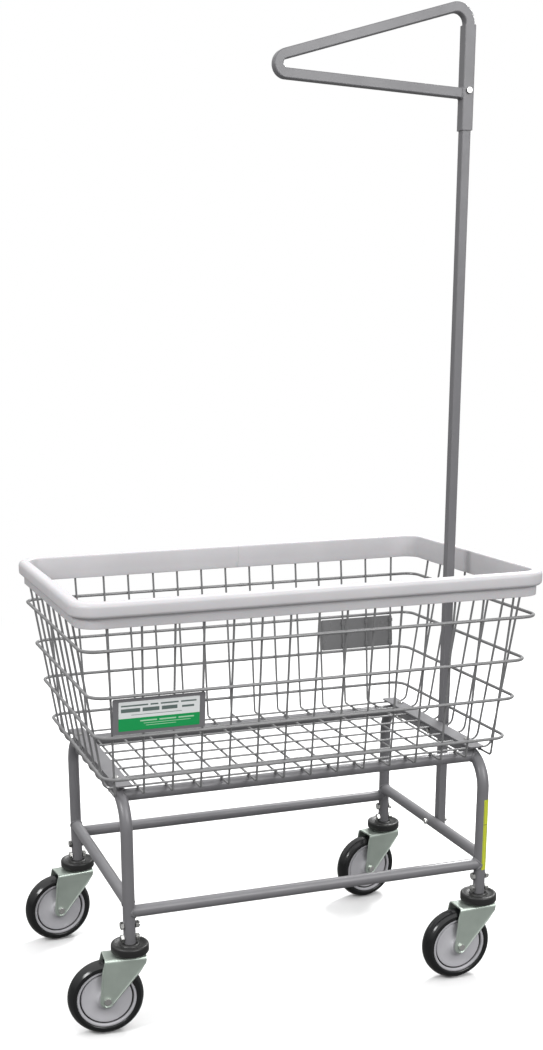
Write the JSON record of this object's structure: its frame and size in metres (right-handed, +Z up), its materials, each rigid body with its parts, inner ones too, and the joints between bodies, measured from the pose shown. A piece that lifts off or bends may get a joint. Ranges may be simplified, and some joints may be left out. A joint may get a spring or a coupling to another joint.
{
  "type": "linen trolley",
  "caption": "Wheeled wire laundry basket on a welded tube frame with swivel casters, a soft rim bumper and a garment hanger loop on a pole.",
  "frame": {"origin": "on the floor under the middle of the whole trolley; the middle of the tube frame is 12.5 mm further along +X, because the casters trail towards -X", "axes": "+Z up, +X along the trolley towards the pole, the label plate on the -Y side"},
  "size_m": [0.9087, 0.5402, 1.7794],
  "materials": {
    "powder_coat": "grey powder coat",
    "coated_wire": "grey coated wire",
    "vinyl_bumper": "off-white vinyl",
    "label_face": "printed label with plain bars",
    "marker_strip": "plain yellow-green strip",
    "black_rubber": "matte black rubber",
    "black_tyre": "black solid tyre",
    "wheel_grey": "light grey moulded wheel centre",
    "zinc_fork": "zinc-plated pressed steel",
    "zinc_hardware": "bright zinc fasteners"
  },
  "bodies": {
    "frame": {"left_end_frame": "powder_coat", "right_end_frame": "powder_coat", "front_top_rail": "powder_coat", "back_top_rail": "powder_coat", "front_lower_rail": "powder_coat", "back_lower_rail": "powder_coat", "left_lower_rail": "powder_coat", "right_lower_rail": "powder_coat", "left_floor_strap": "powder_coat", "right_floor_strap": "powder_coat", "strap_bolts": "zinc_hardware", "cross_wires": "coated_wire", "long_wires": "coated_wire", "hoop_1": "coated_wire", "hoop_2": "coated_wire", "hoop_3": "coated_wire", "hoop_4": "coated_wire", "rim_rod": "coated_wire", "rim_bumper": "vinyl_bumper", "front_label_plate": "powder_coat", "front_label": "label_face", "back_label_plate": "coated_wire", "pole": "powder_coat", "pole_sleeve": "powder_coat", "hanger_loop": "powder_coat", "sleeve_bolt": "zinc_hardware", "pole_bolts": "zinc_hardware", "caster_stems": "zinc_hardware", "caster_bumpers": "black_rubber", "stem_bolts": "zinc_hardware", "stem_nuts": "zinc_hardware", "leg_marker": "marker_strip"},
    "front_left_caster": {"front_left_fork": "zinc_fork", "front_left_swivel_race": "zinc_fork", "front_left_axle_bolt": "zinc_hardware"},
    "front_left_wheel": {"front_left_wheel_hub": "wheel_grey", "front_left_tyre": "black_tyre", "front_left_bearing": "zinc_hardware"},
    "front_right_caster": {"front_right_fork": "zinc_fork", "front_right_swivel_race": "zinc_fork", "front_right_axle_bolt": "zinc_hardware"},
    "front_right_wheel": {"front_right_wheel_hub": "wheel_grey", "front_right_tyre": "black_tyre", "front_right_bearing": "zinc_hardware"},
    "back_left_caster": {"back_left_fork": "zinc_fork", "back_left_swivel_race": "zinc_fork", "back_left_axle_bolt": "zinc_hardware"},
    "back_left_wheel": {"back_left_wheel_hub": "wheel_grey", "back_left_tyre": "black_tyre", "back_left_bearing": "zinc_hardware"},
    "back_right_caster": {"back_right_fork": "zinc_fork", "back_right_swivel_race": "zinc_fork", "back_right_axle_bolt": "zinc_hardware"},
    "back_right_wheel": {"back_right_wheel_hub": "wheel_grey", "back_right_tyre": "black_tyre", "back_right_bearing": "zinc_hardware"}
  },
  "joints": [
    {"name": "front_left_swivel", "type": "hinge", "parent": "frame", "child": "front_left_caster", "pos_m": [-0.3375, -0.215, 0.149], "axis": [0, 0, 1], "continuous": true},
    {"name": "front_left_roll", "type": "hinge", "parent": "front_left_caster", "child": "front_left_wheel", "pos_m": [-0.38439, -0.21172, 0.06985], "axis": [-0.0698, -0.9976, 0], "continuous": true},
    {"name": "front_right_swivel", "type": "hinge", "parent": "frame", "child": "front_right_caster", "pos_m": [0.3625, -0.215, 0.149], "axis": [0, 0, 1], "continuous": true},
    {"name": "front_right_roll", "type": "hinge", "parent": "front_right_caster", "child": "front_right_wheel", "pos_m": [0.31553, -0.21664, 0.06985], "axis": [0.0349, -0.9994, 0], "continuous": true},
    {"name": "back_left_swivel", "type": "hinge", "parent": "frame", "child": "back_left_caster", "pos_m": [-0.3375, 0.215, 0.149], "axis": [0, 0, 1], "continuous": true},
    {"name": "back_left_roll", "type": "hinge", "parent": "back_left_caster", "child": "back_left_wheel", "pos_m": [-0.38415, 0.20927, 0.06985], "axis": [0.1219, -0.9925, 0], "continuous": true},
    {"name": "back_right_swivel", "type": "hinge", "parent": "frame", "child": "back_right_caster", "pos_m": [0.3625, 0.215, 0.149], "axis": [0, 0, 1], "continuous": true},
    {"name": "back_right_roll", "type": "hinge", "parent": "back_right_caster", "child": "back_right_wheel", "pos_m": [0.31621, 0.20684, 0.06985], "axis": [0.1736, -0.9848, 0], "continuous": true}
  ]
}
